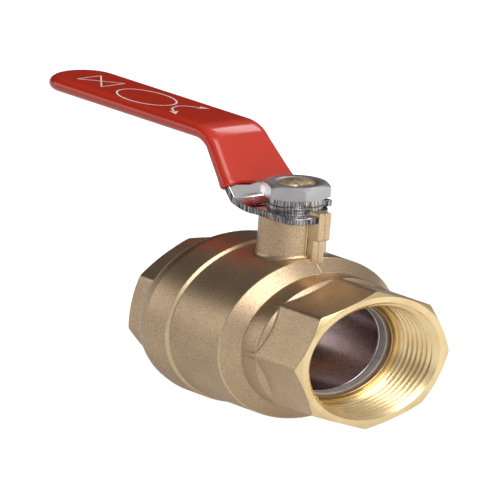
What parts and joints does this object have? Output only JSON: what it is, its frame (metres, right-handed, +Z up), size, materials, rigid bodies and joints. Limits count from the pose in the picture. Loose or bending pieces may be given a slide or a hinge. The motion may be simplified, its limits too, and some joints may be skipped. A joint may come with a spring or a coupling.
{
  "type": "ball valve",
  "caption": "Two-piece brass ball valve with octagonal female threaded ends, quarter-turn stem and a cranked steel lever in a dipped red sleeve.",
  "frame": {"origin": "centre of the ball, where the port axis crosses the stem axis", "axes": "+X along the port out of the body end, +Z up the stem, the grip lies along -X in the stored open state"},
  "size_m": [0.1668, 0.07, 0.1132],
  "materials": {
    "forged_brass": "shot-blasted forging with machined faces",
    "turned_brass": "turned",
    "plated_ball": "polished plating",
    "white_ptfe": "smooth",
    "black_rubber": "moulded",
    "plated_steel": "bright plating",
    "zinc_steel": "zinc plated",
    "red_sleeve": "glossy dipped vinyl"
  },
  "bodies": {
    "housing": {"body": "forged_brass", "end_cap": "forged_brass", "cap_o_ring": "black_rubber", "seat_body_side": "white_ptfe", "seat_cap_side": "white_ptfe", "stem_thrust_washer": "white_ptfe", "packing_ring_bottom": "white_ptfe", "packing_ring_middle": "white_ptfe", "packing_ring_top": "white_ptfe", "packing_gland": "turned_brass"},
    "handle_set": {"stem": "turned_brass", "stem_o_ring": "black_rubber", "lever": "plated_steel", "lever_sleeve": "red_sleeve", "flat_washer": "plated_steel", "lock_washer": "plated_steel", "lever_nut": "zinc_steel"},
    "ball": {"ball": "plated_ball"}
  },
  "joints": [
    {"name": "handle_turn", "type": "hinge", "parent": "housing", "child": "handle_set", "pos_m": [0, 0, 0.05], "axis": [0, 0, 1], "range_deg": [-90, 0]},
    {"name": "ball_turn", "type": "hinge", "parent": "housing", "child": "ball", "pos_m": [0, 0, 0], "axis": [0, 0, 1], "range_deg": [-90, 0]}
  ],
  "couplings": [
    {"joint": "ball_turn", "follows": "handle_turn", "ratio": 1}
  ]
}
